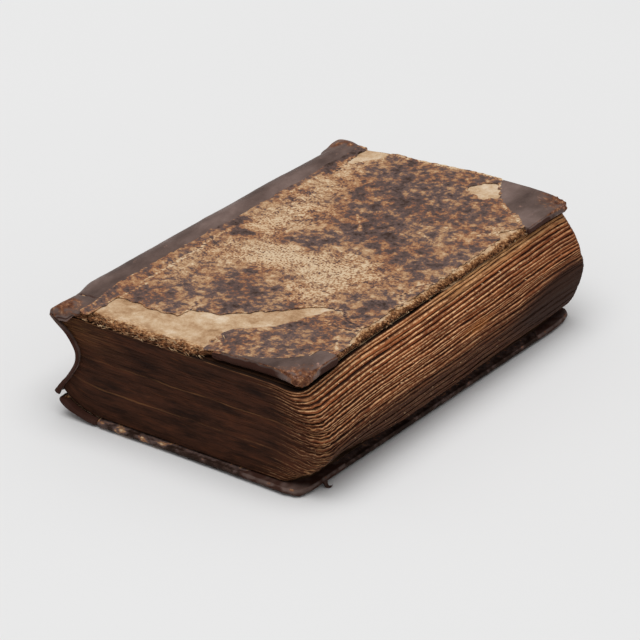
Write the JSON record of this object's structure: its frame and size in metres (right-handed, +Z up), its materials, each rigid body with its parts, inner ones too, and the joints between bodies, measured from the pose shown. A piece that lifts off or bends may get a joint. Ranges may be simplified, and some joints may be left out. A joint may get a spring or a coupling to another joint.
{
  "type": "antique book",
  "caption": "Worn half-leather book lying flat: leather spine and corners, torn sprinkled paper sides, bulging fore edge, sunk spine and hinged covers.",
  "frame": {"origin": "centre of the back cover's outer face, on the surface that the book lies on", "axes": "+X from the spine to the fore edge, +Y from the tail to the head, +Z up through the front cover"},
  "size_m": [0.1157, 0.171, 0.0435],
  "materials": {
    "leaves": "rough, dusty cut edges",
    "endpaper": "matte, foxed",
    "cord": "rough hemp",
    "lining": "matte",
    "leather": "worn, low sheen",
    "pasteboard": "rough, fibrous",
    "side_paper": "sprinkled, abraded"
  },
  "bodies": {
    "back_cover": {"back_board": "pasteboard", "back_side_paper": "side_paper", "back_spine_lap": "leather", "back_head_corner": "leather", "back_tail_corner": "leather", "back_pastedown": "endpaper"},
    "text_block": {"text_block": "leaves", "front_flyleaf": "endpaper", "back_flyleaf": "endpaper", "sewing_cords": "cord", "spine_lining": "lining", "spine_leather": "leather"},
    "front_cover": {"front_board": "pasteboard", "front_side_paper": "side_paper", "front_spine_lap": "leather", "front_head_corner": "leather", "front_tail_corner": "leather", "front_pastedown": "endpaper"}
  },
  "joints": [
    {"name": "back_cover_hinge", "type": "hinge", "parent": "back_cover", "child": "text_block", "pos_m": [-0.0547, 0, 0.0086], "axis": [0, -1, 0], "range_deg": [0, 180]},
    {"name": "front_cover_hinge", "type": "hinge", "parent": "text_block", "child": "front_cover", "pos_m": [-0.0552, 0, 0.0404], "axis": [0, -1, 0], "range_deg": [0, 180]}
  ]
}
